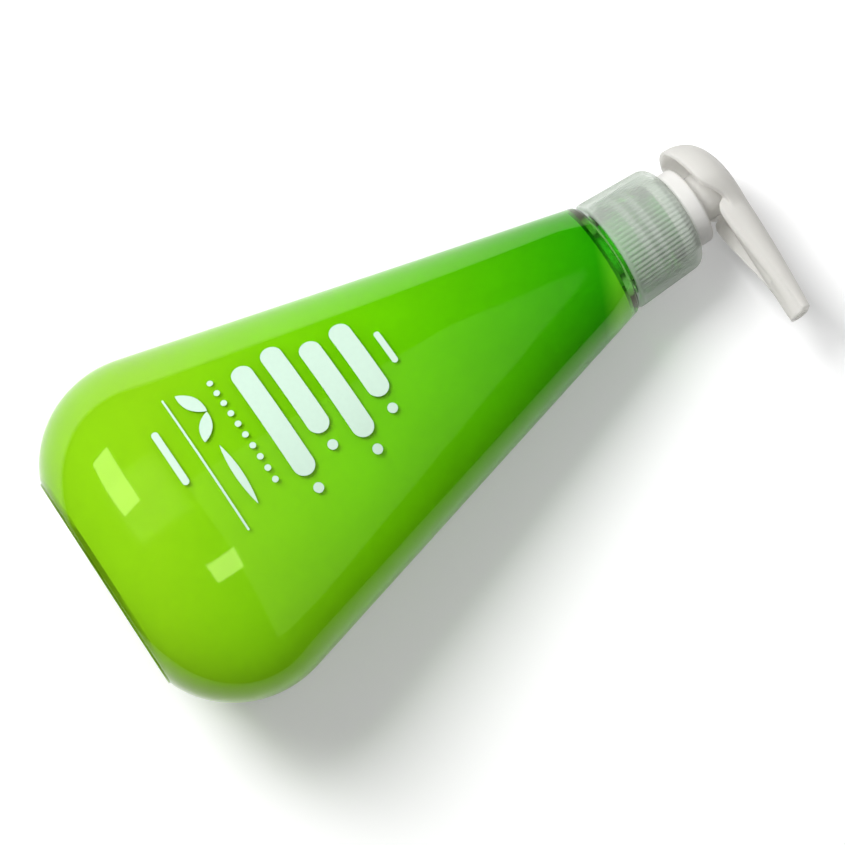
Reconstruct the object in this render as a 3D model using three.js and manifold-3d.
// Toothpaste pump dispenser: a clear green oval bottle of gel under a ribbed screw closure and a
// lotion-type pump, with its head pressed down and locked.
// Millimetres, +Z up, base centre at the origin, label side towards -Y, spout towards +X.

import * as THREE from "three";
import { ParametricGeometry } from "three/addons/geometries/ParametricGeometry.js";
import { mergeVertices } from "three/addons/utils/BufferGeometryUtils.js";
import Module from "manifold-3d";

const wasm = await Module();
wasm.setup();

// Clearances between pieces
const gap = 0.3;
const seatGap = 0.2;

// Bottle body
const bodyHalfWidth = 44;
const bodyHalfDepth = 25;
const cornerSpanWide = 25.5;
const cornerSpanDeep = 9;
const cornerHeight = 25.5;
const widestLevel = 24;
const shoulderLevel = 138.5;
const shoulderStep = 0.5;
const shoulderRise = 1.3;
const bottleWall = 1.3;
const baseWall = 2;
const pushUp = 3;
const footHeight = 0.5;
const footStep = 0.6;
const footLand = 2.6;

// Neck finish and its thread, 24 mm with 8 threads to the inch
const neckRadius = 10.85;
const neckWall = 1.95;
const neckHeight = 16.8;
const threadCrest = 11.94;
const threadPitch = 3.175;
const threadWidth = 1.7;
const neckThreadTurns = 2.5;
const neckThreadStart = 1.5;
const threadStartAngle = -0.45;

// Contents
const fillLevel = 136.4;

// Closure
const closureWall = 1.75;
const closureDraft = 0.7;
const threadClearance = 0.41;
const closurePlate = 1.6;
const closureRounding = 3.4;
const closureLift = 1.9;
const closureHole = 8.4;
const ribCount = 72;
const ribDepth = 0.28;
const ribBand = 1.4;
const closureThreadTurns = 2;
const closureThreadClearance = 0.55;

// Pump housing and what it holds
const gasketThickness = 1;
const flangeThickness = 1.5;
const housingBore = 6.2;
const housingWall = 1.2;
const socketLength = 8;
const seatThickness = 2;
const seatHole = 1.5;
const seatConeAngle = 0.6;
const ventRadius = 0.7;
const ventDrop = 5;
const tubeRadius = 2.5;
const tubeBore = 1.8;
const tubeFloorGap = 3;
const inletBallRadius = 2.4;
const chamberClearance = 0.9;
const ballLift = 1.5;
const cageHeight = 3;
const cageBarWidth = 1;
const cageBarHeight = 1.5;

// Moving pump parts, head down
const stroke = 12;
const strokeSpare = 2;
const stemWall = 1;
const seatLip = 0.9;
const stemPassage = 1.7;
const lowerStemRadius = 2.6;
const lowerStemBore = 1.5;
const stemOverlap = 8;
const crossHoleRadius = 0.9;
const footClearance = 0.8;
const footFlangeHeight = 1.5;
const pistonHeight = 7.5;
const pistonLip = 1.6;
const pistonWaist = 4.6;
const pistonSlip = 1.2;
const springWire = 0.9;
const springTurns = 7;
const springHeight = 16;
const outletBallRadius = 2.2;

// Lock ring
const ringRadius = 9.8;
const ringHeight = 4.2;
const ringRounding = 1;
const sleeveLength = 7;

// Pump head
const bossRadius = 5.9;
const bossReach = 3.5;
const padRadius = 13.9;
const padDome = 2.5;
const padEdgeRise = 1.5;
const padEdgeTilt = 1;
const headHeight = 9.4;
const crownOffset = 3;
const spoutReach = 37;
const spoutRootX = 9;
const spoutBlendStart = -1;
const spoutRootHalfWidth = 7.7;
const spoutTipHalfWidth = 3.1;
const spoutTipDrop = 2.75;
const spoutRidgeRise = 4.1;
const keelTipHalfWidth = 2.6;
const keelDepth = 3.3;
const keelTipDepth = 3;
const keelWaist = 1.1;
const headWall = 1.5;
const hollowReach = 27;
const flowTubeRadius = 2.6;
const flowBore = 1.4;
const flowDrop = 3.4;
const orificeDrop = 0.4;
const socketDepth = 8.2;

// Levels and sizes that follow from the ones above, from the neck upwards
const neckBore = neckRadius - neckWall;
const closureBore = threadCrest + threadClearance;
const closureRadius = closureBore + closureWall;
const closureTopRadius = closureRadius - closureDraft;
const shoulderRadius = closureRadius + shoulderStep;
const lipLevel = shoulderLevel + neckHeight;
const flangeRadius = neckRadius - gap;
const flangeBottom = lipLevel + gasketThickness;
const flangeTop = flangeBottom + flangeThickness;
const closureTop = flangeTop + closurePlate;
const closureBottom = shoulderLevel + closureLift;
const ringBottom = closureTop + gap;
const ringTop = ringBottom + ringHeight;
const ringShelf = ringTop - bossReach - gap;
const ringBore = bossRadius + gap;
const ringCollar = closureHole - gap;
const sleeveRadius = housingBore - gap;
const sleeveBottom = flangeTop - sleeveLength;

// The head, its socket and its flow channel
const bossBottom = ringTop - bossReach;
const headBottom = ringTop + padEdgeRise;
const headTop = headBottom + headHeight;
const ridgeLevel = headBottom + spoutRidgeRise;
const socketTop = bossBottom + socketDepth;
const flowLevel = headTop - flowDrop;

// The stack inside the housing, from the sleeve of the lock ring downwards
const pistonTop = sleeveBottom - strokeSpare - stroke;
const pistonBottom = pistonTop - pistonHeight;
const stemFoot = pistonBottom - gap - footFlangeHeight;
const springBottom = stemFoot - gap - springHeight;
const cageTop = springBottom - gap;
const ledgeLevel = cageTop - cageHeight;
const housingRadius = housingBore + housingWall;
const socketRadius = tubeRadius + gap + housingWall;
const footFlangeRadius = housingBore - footClearance;
const springRadius = footFlangeRadius - springWire;
const cageBore = springRadius - springWire;
const stemBore = lowerStemRadius + gap;
const stemRadius = stemBore + stemWall;
const guideBore = stemRadius + gap;
const upperStemBottom = pistonTop + pistonSlip + gap;
const upperStemTop = socketTop - gap;
const lowerStemTop = upperStemBottom + stemOverlap;
const inletChamberRadius = inletBallRadius + chamberClearance;
const inletBallLevel = ledgeLevel - gap - ballLift - inletBallRadius;

// Level of the small end of the cone under a ball, and of the cone's wide end
const ballSeatLevel = (level, radius, hole) =>
  level - ((radius + seatGap) / Math.cos(seatConeAngle) - hole) / Math.tan(seatConeAngle);
const inletSeatLevel = ballSeatLevel(inletBallLevel, inletBallRadius, seatHole);
const coneTop = (seat, hole, chamber) => seat + (chamber - hole) / Math.tan(seatConeAngle);
const inletConeTop = coneTop(inletSeatLevel, seatHole, inletChamberRadius);
const socketCeiling = inletSeatLevel - seatThickness;
const housingBottom = socketCeiling - socketLength;
const outletBallLevel = upperStemTop - gap - ballLift - outletBallRadius;
const outletSeatLevel = ballSeatLevel(outletBallLevel, outletBallRadius, seatHole);
const outletConeTop = coneTop(outletSeatLevel, seatHole, stemBore);

// A closed geometry as a solid
function solid(geometry) {
  const bare = geometry.clone();
  bare.deleteAttribute("normal");
  bare.deleteAttribute("uv");
  const merged = mergeVertices(bare, 1e-4);
  return new wasm.Manifold(
    new wasm.Mesh({
      numProp: 3,
      vertProperties: merged.attributes.position.array,
      triVerts: Uint32Array.from(merged.index.array),
    }),
  );
}

// A solid as a geometry
function geometryOf(made) {
  const mesh = made.getMesh();
  const geometry = new THREE.BufferGeometry();
  geometry.setAttribute("position", new THREE.BufferAttribute(mesh.vertProperties, 3));
  geometry.setIndex(new THREE.BufferAttribute(mesh.triVerts, 1));
  geometry.computeVertexNormals();
  return geometry;
}

// A round solid from [radius, level] points that run up the outside and down the inside
function turned(profile, segments = 32) {
  const points = profile.map(([radius, level]) => new THREE.Vector2(radius, level));
  return solid(new THREE.LatheGeometry(points, segments).rotateX(Math.PI / 2));
}

// A plain ring, as a closed profile
function ring(inner, outer, bottom, top, segments) {
  const profile = [[inner, bottom], [outer, bottom], [outer, top], [inner, top], [inner, bottom]];
  return turned(profile, segments);
}

// A plain upright rod
function rod(radius, bottom, top, segments = 24) {
  return turned([[0, bottom], [radius, bottom], [radius, top], [0, top]], segments);
}

// A round rod between two points of the plane y = 0
function slantedRod(radius, from, to, segments = 20) {
  const way = new THREE.Vector3().subVectors(to, from);
  const geometry = new THREE.CylinderGeometry(radius, radius, way.length(), segments);
  const up = new THREE.Vector3(0, 1, 0);
  geometry.applyQuaternion(new THREE.Quaternion().setFromUnitVectors(up, way.clone().normalize()));
  geometry.translate(...from.clone().addScaledVector(way, 0.5).toArray());
  return solid(geometry);
}

// Points of a quarter circle in [radius, level] form, from one angle to another
function arc(centreRadius, centreLevel, radius, from, to, steps) {
  return Array.from({ length: steps + 1 }, (_, i) => {
    const angle = from + ((to - from) * i) / steps;
    return [centreRadius + radius * Math.cos(angle), centreLevel + radius * Math.sin(angle)];
  });
}

// A closed skin through rows of points; the first and the last row close to a point
function skin(rows, along, around) {
  const place = (u, v, target) => rows(Math.round(v * along), u, target);
  return solid(new ParametricGeometry(place, around, along));
}

// Half of the oval body's span at a level: a round corner up to the widest level, then a
// straight side that is tangent to the corner and ends at the shoulder. inset moves it inwards.
function halfSpan(level, half, cornerSpan, inset) {
  const span = cornerSpan - inset;
  const height = cornerHeight - inset;
  const centre = half - cornerSpan;
  const shoulder = shoulderRadius - inset;
  const across = ((shoulder - centre) * height) / span;
  const up = shoulderLevel - widestLevel;
  const tangent = Math.atan2(up, across) - Math.acos(height / Math.hypot(across, up));
  const tangentLevel = widestLevel + height * Math.sin(tangent);
  if (level <= tangentLevel) {
    const rise = THREE.MathUtils.clamp((level - widestLevel) / height, -1, 1);
    return centre + span * Math.sqrt(1 - rise * rise);
  }
  const tangentSpan = centre + span * Math.cos(tangent);
  const way = (level - tangentLevel) / (shoulderLevel - tangentLevel);
  return tangentSpan + (shoulder - tangentSpan) * way;
}

// Both half spans of the body at a level, with the level itself
function bodyRing(level, inset = 0) {
  return [
    halfSpan(level, bodyHalfWidth, cornerSpanWide, inset),
    halfSpan(level, bodyHalfDepth, cornerSpanDeep, inset),
    level,
  ];
}

// A closed oval skin through rings of [half width, half depth, level]
function ovalSolid(rings, around = 40) {
  return skin(
    (row, u, target) => {
      const [halfWidth, halfDepth, level] = rings[row];
      const angle = u * 2 * Math.PI;
      target.set(halfWidth * Math.cos(angle), halfDepth * Math.sin(angle), level);
    },
    rings.length - 1,
    around,
  );
}

// Levels at which the body's skins have a ring, closer together round the bottom corner
function bodyLevels(from, to) {
  const corner = [0.12, 0.3, 0.5, 0.75, 1, 1.25, 3].map((share) => share * widestLevel);
  return [from, ...corner.filter((level) => level > from + 1 && level < to - 1), to];
}

// The base's dome, as rings from the middle out to where the foot's land begins
function baseDome(halfWidth, halfDepth, offset) {
  return [0, 0.35, 0.65, 0.85, 1].map((share) => [
    share * halfWidth,
    share * halfDepth,
    offset + (pushUp * (1 + Math.cos(Math.PI * share))) / 2,
  ]);
}

// The space inside the body, drawn in by inset from the outside and up to the given level
function insideRings(inset, floor, top) {
  const [wide, deep] = bodyRing(floor, inset);
  const dome = baseDome(wide - footLand, deep - footLand, floor);
  return [...dome, ...bodyLevels(floor, top).map((level) => bodyRing(level, inset))];
}

// A screw thread bead: a tapered ridge wound on a radius, thinning to nothing at both ends
function threadBead(root, crest, startLevel, turns, startAngle) {
  const stepsPerTurn = 24;
  const steps = Math.round(turns * stepsPerTurn);
  const section = [[0, -0.5], [1, -0.26], [1, 0.26], [0, 0.5]];
  const corners = crest > root ? section.toReversed() : section;
  return skin(
    (row, u, target) => {
      const turn = ((row - 0.5) / (steps - 1)) * turns;
      const held = THREE.MathUtils.clamp(turn, 0, turns);
      const end = row === 0 || row === steps;
      const [out, up] = end ? [0, 0] : corners[Math.round(u * corners.length) % corners.length];
      const fade = Math.min(1, (held + 0.02) * 8, (turns - held + 0.02) * 8);
      const radius = root + (crest - root) * out * fade;
      const level = startLevel + held * threadPitch + up * threadWidth;
      const angle = startAngle + held * 2 * Math.PI;
      target.set(radius * Math.cos(angle), radius * Math.sin(angle), level);
    },
    steps,
    corners.length,
  );
}

function makeBottle() {
  const [footWide, footDeep] = bodyRing(footHeight).map((span) => span - footStep);
  const shoulderBrow = shoulderRadius - 0.4 * shoulderRise;
  const outside = [
    ...baseDome(footWide - footLand, footDeep - footLand, 0),
    [footWide, footDeep, 0],
    [footWide, footDeep, footHeight],
    ...bodyLevels(footHeight, shoulderLevel).map((level) => bodyRing(level)),
    [shoulderBrow, shoulderBrow, shoulderLevel + 0.6 * shoulderRise],
    [neckRadius, neckRadius, shoulderLevel + shoulderRise],
    [neckRadius, neckRadius, lipLevel],
    [0, 0, lipLevel],
  ];
  const inside = [
    ...insideRings(bottleWall, baseWall, shoulderLevel - bottleWall),
    [neckBore, neckBore, shoulderLevel + shoulderRise - bottleWall],
    [neckBore, neckBore, lipLevel + 1],
    [0, 0, lipLevel + 1],
  ];
  const bottom = lipLevel - neckThreadStart - neckThreadTurns * threadPitch;
  const thread = threadBead(neckRadius - 0.3, threadCrest, bottom, neckThreadTurns, threadStartAngle);
  return ovalSolid(outside).add(thread).subtract(ovalSolid(inside));
}

function makeContents() {
  const rings = insideRings(bottleWall + gap, baseWall + gap, fillLevel);
  const body = ovalSolid([...rings, [0, 0, fillLevel]]);
  const well = turned([
    [0, housingBottom - gap],
    [socketRadius + gap, housingBottom - gap],
    [socketRadius + gap, socketCeiling - gap],
    [housingRadius + gap, inletConeTop - gap],
    [housingRadius + gap, fillLevel + 1],
    [0, fillLevel + 1],
  ]);
  const channelBottom = pushUp + baseWall + tubeFloorGap - 2 * gap;
  return body.subtract(well).subtract(rod(tubeRadius + gap, channelBottom, housingBottom, 20));
}

function makeClosure() {
  const columns = ribCount * 2;
  const skirt = closureTop - closureRounding;
  const sideRadius = (level) =>
    closureRadius - (closureDraft * (level - closureBottom)) / (skirt - closureBottom);
  const rounding = arc(closureTopRadius - closureRounding, skirt, closureRounding, 0, Math.PI / 2, 3);
  const rows = [
    [0, closureBottom, 0],
    [closureRadius, closureBottom, 0],
    [sideRadius(closureBottom + ribBand), closureBottom + ribBand, 0],
    [sideRadius(closureBottom + ribBand + ribDepth), closureBottom + ribBand + ribDepth, 1],
    ...rounding.map(([radius, level], i) => [radius, level, Math.max(0, 1 - i / 2)]),
    [0, closureTop, 0],
  ];
  const outside = skin(
    (row, u, target) => {
      const [radius, level, share] = rows[row];
      const column = Math.round(u * columns);
      const ribbed = radius - (column % 2) * ribDepth * share;
      const angle = (column / columns) * 2 * Math.PI;
      target.set(ribbed * Math.cos(angle), ribbed * Math.sin(angle), level);
    },
    rows.length - 1,
    columns,
  );
  const inside = turned([
    [0, closureBottom - 1],
    [closureBore, closureBottom - 1],
    [closureBore, flangeTop - 1],
    [closureBore - 1, flangeTop],
    [closureHole, flangeTop],
    [closureHole, closureTop + 1],
    [0, closureTop + 1],
  ], 48);
  const bottom = lipLevel - neckThreadStart - (neckThreadTurns + 0.5) * threadPitch;
  const crest = neckRadius + closureThreadClearance;
  const thread = threadBead(closureBore + 0.3, crest, bottom, closureThreadTurns, threadStartAngle);
  return outside.subtract(inside).add(thread);
}

function makeGasket() {
  return ring(housingRadius + gap, flangeRadius, lipLevel, flangeBottom, 32);
}

function makeHousing() {
  const body = turned([
    [tubeRadius + gap, housingBottom],
    [socketRadius, housingBottom],
    [socketRadius, socketCeiling],
    [housingRadius, inletConeTop],
    [housingRadius, flangeBottom],
    [flangeRadius, flangeBottom],
    [flangeRadius, flangeTop],
    [housingBore, flangeTop],
    [housingBore, ledgeLevel],
    [inletChamberRadius, ledgeLevel],
    [inletChamberRadius, inletConeTop],
    [seatHole, inletSeatLevel],
    [seatHole, socketCeiling],
    [tubeRadius + gap, socketCeiling],
    [tubeRadius + gap, housingBottom],
  ]);
  const ventLevel = flangeBottom - ventDrop;
  const ventFrom = new THREE.Vector3(housingBore - 1, 0, ventLevel);
  const ventTo = new THREE.Vector3(housingRadius + 1, 0, ventLevel);
  return body.subtract(slantedRod(ventRadius, ventFrom, ventTo, 10));
}

function makeDipTube() {
  const bottom = pushUp + baseWall + tubeFloorGap;
  return ring(tubeBore, tubeRadius, bottom, socketCeiling - gap, 20);
}

function makeCage() {
  const barLength = cageBore + sleeveRadius;
  const bar = (turn) => {
    const box = new THREE.BoxGeometry(barLength, cageBarWidth, cageBarHeight);
    box.rotateZ(turn).translate(0, 0, ledgeLevel + cageBarHeight / 2);
    return solid(box);
  };
  return ring(cageBore, sleeveRadius, ledgeLevel, cageTop, 32).add(bar(0)).add(bar(Math.PI / 2));
}

function makeBall(radius, level) {
  return solid(new THREE.SphereGeometry(radius, 14, 8).rotateX(Math.PI / 2).translate(0, 0, level));
}

function makeSpring() {
  const stepsPerTurn = 11;
  const steps = springTurns * stepsPerTurn;
  const sides = 5;
  const wire = springWire / 2;
  return skin(
    (row, u, target) => {
      const share = THREE.MathUtils.clamp((row - 1) / (steps - 2), 0, 1);
      const size = row === 0 || row === steps ? 0 : wire;
      const turn = share * springTurns * 2 * Math.PI;
      const side = -u * 2 * Math.PI;
      const radius = springRadius + size * Math.cos(side);
      const level = springBottom + wire + share * (springHeight - springWire) + size * Math.sin(side);
      target.set(radius * Math.cos(turn), radius * Math.sin(turn), level);
    },
    steps,
    sides,
  );
}

function makePiston() {
  const lipRadius = housingBore - gap;
  const bore = lowerStemRadius + gap;
  return turned([
    [bore, pistonBottom],
    [pistonWaist - pistonLip / 2, pistonBottom],
    [lipRadius, pistonBottom + 0.2],
    [lipRadius, pistonBottom + pistonLip],
    [pistonWaist, pistonBottom + 1.6 * pistonLip],
    [pistonWaist, pistonTop - 1.6 * pistonLip],
    [lipRadius, pistonTop - pistonLip],
    [lipRadius, pistonTop - 0.2],
    [pistonWaist, pistonTop - pistonLip],
    [pistonWaist - pistonLip / 2, pistonTop],
    [bore, pistonTop],
    [bore, pistonBottom],
  ]);
}

function makeLowerStem() {
  const shaftFrom = stemFoot + footFlangeHeight;
  const body = turned([
    [0, stemFoot],
    [footFlangeRadius, stemFoot],
    [footFlangeRadius, shaftFrom],
    [lowerStemRadius, shaftFrom],
    [lowerStemRadius, lowerStemTop],
    [lowerStemBore, lowerStemTop],
    [lowerStemBore, shaftFrom + gap],
    [0, shaftFrom + gap],
  ], 24);
  const holeLevel = shaftFrom + gap + crossHoleRadius + gap;
  const from = new THREE.Vector3(-2 * lowerStemRadius, 0, holeLevel);
  const to = new THREE.Vector3(2 * lowerStemRadius, 0, holeLevel);
  return body.subtract(slantedRod(crossHoleRadius, from, to, 12));
}

function makeUpperStem() {
  return turned([
    [stemBore, upperStemBottom],
    [stemRadius, upperStemBottom],
    [stemRadius, upperStemTop],
    [stemBore, upperStemTop],
    [stemBore, outletConeTop],
    [seatHole, outletSeatLevel],
    [seatHole, outletSeatLevel - seatLip],
    [stemPassage, outletSeatLevel - 2 * seatLip],
    [stemPassage, lowerStemTop + 2 * gap],
    [stemBore, lowerStemTop + gap],
    [stemBore, upperStemBottom],
  ]);
}

function makeLockRing() {
  const edge = arc(ringRadius - ringRounding, ringTop - ringRounding, ringRounding, 0, Math.PI / 2, 3);
  return turned([
    [guideBore, sleeveBottom],
    [sleeveRadius, sleeveBottom],
    [sleeveRadius, flangeTop],
    [ringCollar, flangeTop],
    [ringCollar, ringBottom],
    [ringRadius, ringBottom],
    ...edge,
    [ringBore, ringTop],
    [ringBore, ringShelf],
    [guideBore, ringShelf],
    [guideBore, sleeveBottom],
  ]);
}

// Half width of the head seen from above: the round pad narrowing into the spout
function headHalfWidth(x) {
  const round = Math.sqrt(Math.max(0, padRadius * padRadius - x * x));
  const way = (x - spoutRootX) / (spoutReach - spoutRootX);
  const straight = spoutRootHalfWidth + (spoutTipHalfWidth - spoutRootHalfWidth) * way;
  const blend = THREE.MathUtils.smoothstep(x, spoutBlendStart, spoutRootX);
  return round + (straight - round) * blend;
}

// Level of the head's lower edge: the pad's rim, lower at the back, rising to the spout's ridge
function headEdge(x) {
  const rim = headBottom + (padEdgeTilt * Math.min(x, 0)) / padRadius;
  return rim + (ridgeLevel - rim) * THREE.MathUtils.smoothstep(x, spoutBlendStart, 0.7 * spoutRootX);
}

// Level of the head's top along its middle
function headCrown(x) {
  const back = Math.max(0, crownOffset - x) / (crownOffset + padRadius);
  const front = Math.max(0, x - crownOffset) / (spoutReach - crownOffset);
  const dome = Math.pow(Math.max(0, 1 - Math.pow(back, padDome)), 1 / padDome);
  const edge = headEdge(Math.min(x, -padRadius * 0.2));
  const level = x < crownOffset ? edge + (headTop - edge) * dome : headTop;
  return level - spoutTipDrop * Math.pow(front, 1.7);
}

// Stations along the head, closer together at its round back
function headStation(share, from, to) {
  const round = (1 - Math.cos(share * Math.PI * 0.5)) * 0.4 + share * 0.6;
  return from + (to - from) * round;
}

// A skin under the head's crown with a flat underside, drawn in by inset and dropped by drop
function headShell(from, to, inset, drop) {
  const along = 17;
  const around = 20;
  const overArch = around - 4;
  return skin(
    (row, u, target) => {
      const end = row === 0 || row === along;
      const x = headStation(THREE.MathUtils.clamp((row - 1) / (along - 2), 0, 1), from, to);
      const half = Math.max(0.05, headHalfWidth(x) - inset);
      const edge = headEdge(x) - drop;
      const crown = Math.max(edge + 0.05, headCrown(x) - inset);
      const column = Math.round(u * around) % around;
      const angle = (Math.min(column, overArch) / overArch) * Math.PI;
      const bow = (value) => Math.sign(value) * Math.pow(Math.abs(value), 2 / padDome);
      const across = column > overArch ? -1 + (2 * (column - overArch)) / 4 : bow(Math.cos(angle));
      const up = column >= overArch || column === 0 ? 0 : bow(Math.sin(angle));
      if (end) target.set(x, 0, edge + (crown - edge) / 2);
      else target.set(x, half * across, edge + (crown - edge) * up);
    },
    along,
    around,
  );
}

// Half width and floor level of the keel under the spout
function keelAt(x) {
  const way = THREE.MathUtils.clamp((x - spoutRootX) / (spoutReach - spoutRootX), 0, 1);
  const half = spoutRootHalfWidth + (keelTipHalfWidth - spoutRootHalfWidth) * way;
  const waist = keelWaist * Math.sin(Math.PI * Math.pow(way, 1.6));
  const depth = keelDepth + (keelTipDepth - keelDepth) * way - waist;
  return { half, floor: ridgeLevel - depth };
}

// The keel's body, or the space inside it when inset is above zero
function keel(from, to, inset, roof) {
  const along = 12;
  const around = 16;
  return skin(
    (row, u, target) => {
      const end = row === 0 || row === along;
      const x = from + (to - from) * THREE.MathUtils.clamp((row - 1) / (along - 2), 0, 1);
      const { half, floor } = keelAt(x);
      const angle = u * 2 * Math.PI;
      const bow = (value) => Math.sign(value) * Math.sqrt(Math.abs(value));
      const low = inset > 0 ? floor - inset : floor;
      const middle = (low + roof) / 2;
      const round = THREE.MathUtils.smoothstep(x, hollowReach, spoutReach);
      const across = THREE.MathUtils.lerp(bow(Math.cos(angle)), Math.cos(angle), round);
      const up = THREE.MathUtils.lerp(bow(Math.sin(angle)), Math.sin(angle), round);
      if (end) target.set(x, 0, middle);
      else target.set(x, (half - inset) * across, middle + ((roof - low) / 2) * up);
    },
    along,
    around,
  );
}

function makeHead() {
  const tip = new THREE.Vector3(spoutReach, 0, ridgeLevel - orificeDrop);
  const flowStart = new THREE.Vector3(0, 0, flowLevel);
  const past = new THREE.Vector3().subVectors(tip, flowStart).multiplyScalar(1.05).add(flowStart);
  const before = new THREE.Vector3().subVectors(tip, flowStart).multiplyScalar(0.97).add(flowStart);
  const roof = ridgeLevel + 2;
  const hollow = headShell(headWall - padRadius, spoutRootX, headWall, padRadius / 2);
  const keelHollow = keel(spoutRootX - 3, hollowReach, headWall, roof);
  return headShell(-padRadius, spoutReach - 0.4, 0, 0)
    .add(keel(spoutRootX - 4, spoutReach, 0, roof))
    .subtract(hollow)
    .subtract(keelHollow)
    .add(rod(bossRadius, bossBottom, headTop - headWall, 32))
    .add(slantedRod(flowTubeRadius, flowStart, before))
    .subtract(rod(guideBore, bossBottom - 1, socketTop, 32))
    .subtract(rod(flowBore, socketTop - 1, flowLevel, 16))
    .subtract(slantedRod(flowBore, flowStart, past, 16));
}

// Finishes
const finish = (color, roughness, metalness = 0, opacity = 1) =>
  new THREE.MeshStandardMaterial({ color, roughness, metalness, opacity, transparent: opacity < 1 });
const clearGreen = finish("#58b800", 0.08, 0, 0.7);
const greenGel = finish("#7cc800", 0.4);
const cloudyWhite = finish("#dfe3de", 0.35, 0, 0.85);
const white = finish("#ecebe8", 0.3);
const natural = finish("#e6e8e4", 0.4);
const foam = finish("#f2f2ee", 0.8);
const steel = finish("#c4c6c8", 0.25, 1);

const dispenser = new THREE.Group();

function place(name, made, material) {
  const mesh = new THREE.Mesh(geometryOf(made), material);
  mesh.name = name;
  dispenser.add(mesh);
}

place("bottle", makeBottle(), clearGreen);
place("toothpaste_gel", makeContents(), greenGel);
place("closure", makeClosure(), cloudyWhite);
place("neck_gasket", makeGasket(), foam);
place("pump_housing", makeHousing(), natural);
place("dip_tube", makeDipTube(), natural);
place("inlet_ball", makeBall(inletBallRadius, inletBallLevel), steel);
place("ball_cage", makeCage(), natural);
place("return_spring", makeSpring(), steel);
place("piston_seal", makePiston(), natural);
place("lower_stem", makeLowerStem(), natural);
place("upper_stem", makeUpperStem(), natural);
place("outlet_ball", makeBall(outletBallRadius, outletBallLevel), steel);
place("lock_ring", makeLockRing(), white);
place("pump_head", makeHead(), white);

export default dispenser;
